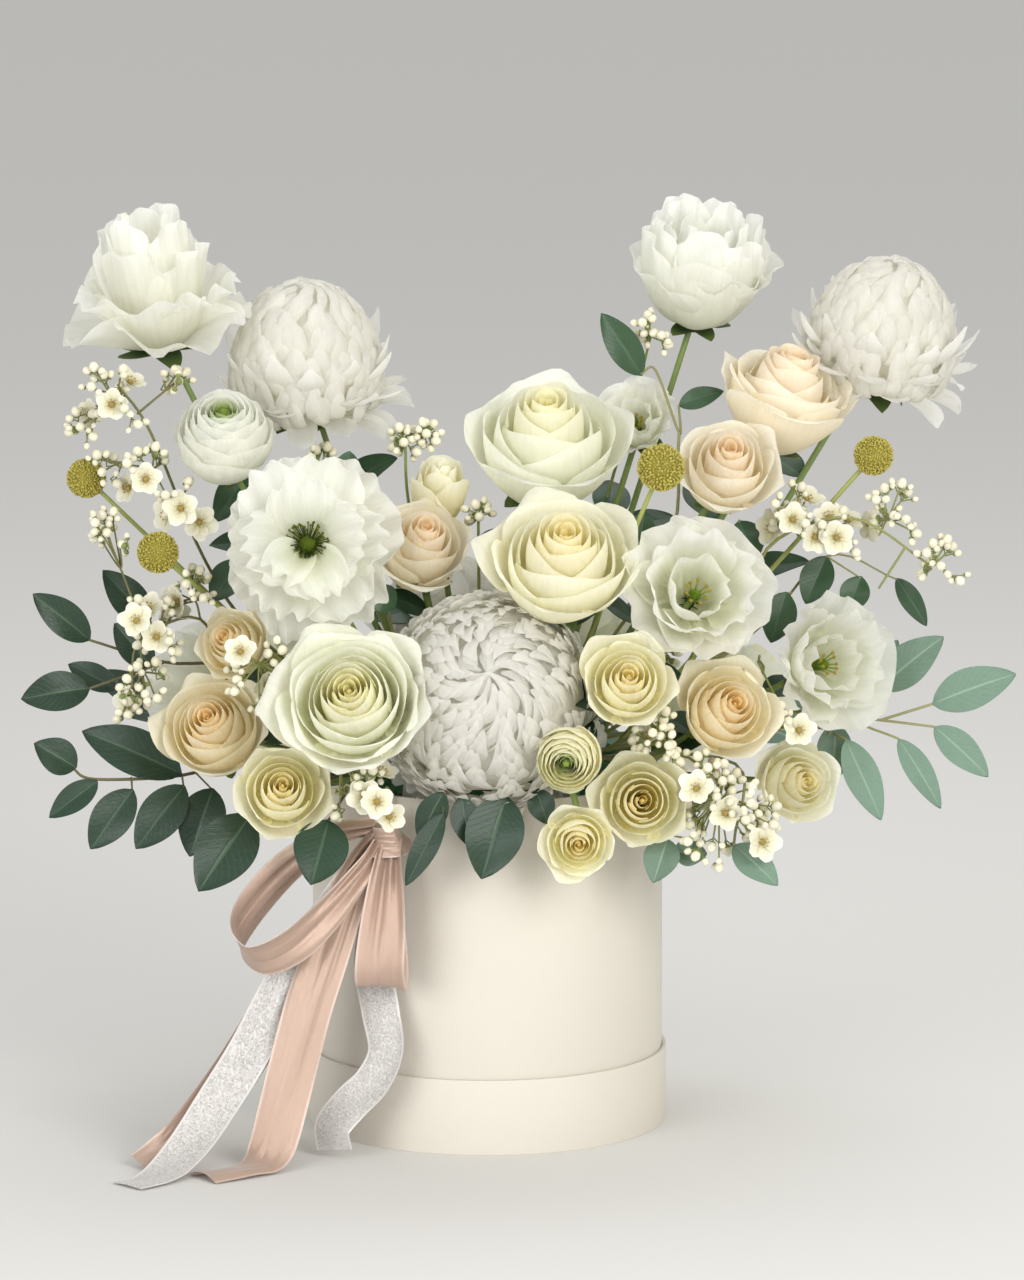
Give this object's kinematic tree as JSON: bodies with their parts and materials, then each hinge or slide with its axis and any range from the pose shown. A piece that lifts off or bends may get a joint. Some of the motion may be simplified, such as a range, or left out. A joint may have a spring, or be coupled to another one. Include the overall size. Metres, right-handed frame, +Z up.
{
  "type": "flower box",
  "caption": "Round paper hat box standing in its own lid, filled with white, cream and peach flowers, eucalyptus and waxflower, with a satin and sheer ribbon bow.",
  "frame": {"origin": "centre of the underside of the lid the box stands in", "axes": "+Z up along the box's axis; the front with the ribbon bow faces -Y; +X is to the right seen from the front"},
  "size_m": [0.5612, 0.3381, 0.5143],
  "materials": {
    "lid_paper": "fine grained matt paper over board",
    "box_paper": "fine grained matt paper over board",
    "liner": "thin translucent film",
    "foam": "wet open-cell foam",
    "petal_white": "thin soft petals, slightly translucent",
    "petal_cream": "thin soft petals, slightly translucent",
    "petal_yellow": "thin soft petals, slightly translucent",
    "petal_peach": "thin soft petals, slightly translucent",
    "craspedia": "woolly, made of tiny florets",
    "waxflower": "small waxy petals and buds on thin twigs",
    "leaf_dark_green": "smooth leaf with a pale midrib",
    "leaf_blue_green": "matt waxy bloom",
    "satin_ribbon": "satin weave with a soft sheen",
    "sheer_ribbon": "sheer silvery fibres"
  },
  "bodies": {
    "base": {"lid_disc": "lid_paper", "lid_rim": "lid_paper"},
    "box": {"box_wall": "box_paper", "box_floor": "box_paper"},
    "insert": {"anemone_left": "petal_white", "bow_loop_left": "satin_ribbon", "bow_loop_right": "satin_ribbon", "bow_pick": "satin_ribbon", "bud_sprigs": "waxflower", "collar_leaves_front": "leaf_dark_green", "craspedia": "craspedia", "eucalyptus_back_left": "leaf_dark_green", "eucalyptus_back_right": "leaf_blue_green", "eucalyptus_left_lower": "leaf_dark_green", "eucalyptus_left_upper": "leaf_dark_green", "eucalyptus_right_lower": "leaf_blue_green", "eucalyptus_right_upper": "leaf_blue_green", "floral_foam": "foam", "foliage_inner": "leaf_dark_green", "liner_tray": "liner", "lisianthus_back": "petal_white", "lisianthus_far_right": "petal_white", "lisianthus_right": "petal_white", "lisianthus_small": "petal_white", "lisianthus_top_left": "petal_white", "mum_football": "petal_white", "mum_top_left": "petal_white", "mum_top_right": "petal_white", "mums_back": "petal_white", "peony_top_right": "petal_white", "ranunculus_back": "petal_white", "ranunculus_upper_left": "petal_white", "ranunculus_yellow": "petal_yellow", "rose_cream_low_right": "petal_cream", "rose_cream_upper_right": "petal_cream", "rose_large_middle": "petal_cream", "rose_large_upper": "petal_cream", "rose_peach_centre": "petal_peach", "rose_peach_left": "petal_peach", "rose_peach_low_right": "petal_peach", "rose_peach_right": "petal_peach", "rose_rim": "petal_yellow", "rose_ruffled_left": "petal_cream", "rose_yellow_low_left": "petal_yellow", "rose_yellow_low_right": "petal_yellow", "rose_yellow_right": "petal_yellow", "rosebud_cream": "petal_cream", "rosebud_peach_left": "petal_peach", "roses_back": "petal_cream", "satin_tail_back": "satin_ribbon", "satin_tail_front": "satin_ribbon", "sheer_tail_long": "sheer_ribbon", "sheer_tail_short": "sheer_ribbon", "waxflower_back": "waxflower", "waxflower_centre": "waxflower", "waxflower_left": "waxflower", "waxflower_left_low": "waxflower", "waxflower_right": "waxflower", "waxflower_right_dense": "waxflower"}
  },
  "joints": [
    {"name": "box_lift", "type": "slide", "parent": "base", "child": "box", "axis": [0, 0, 1], "range_m": [0, 0.08]},
    {"name": "insert_lift", "type": "slide", "parent": "box", "child": "insert", "axis": [0, 0, 1], "range_m": [0, 0.25]}
  ]
}
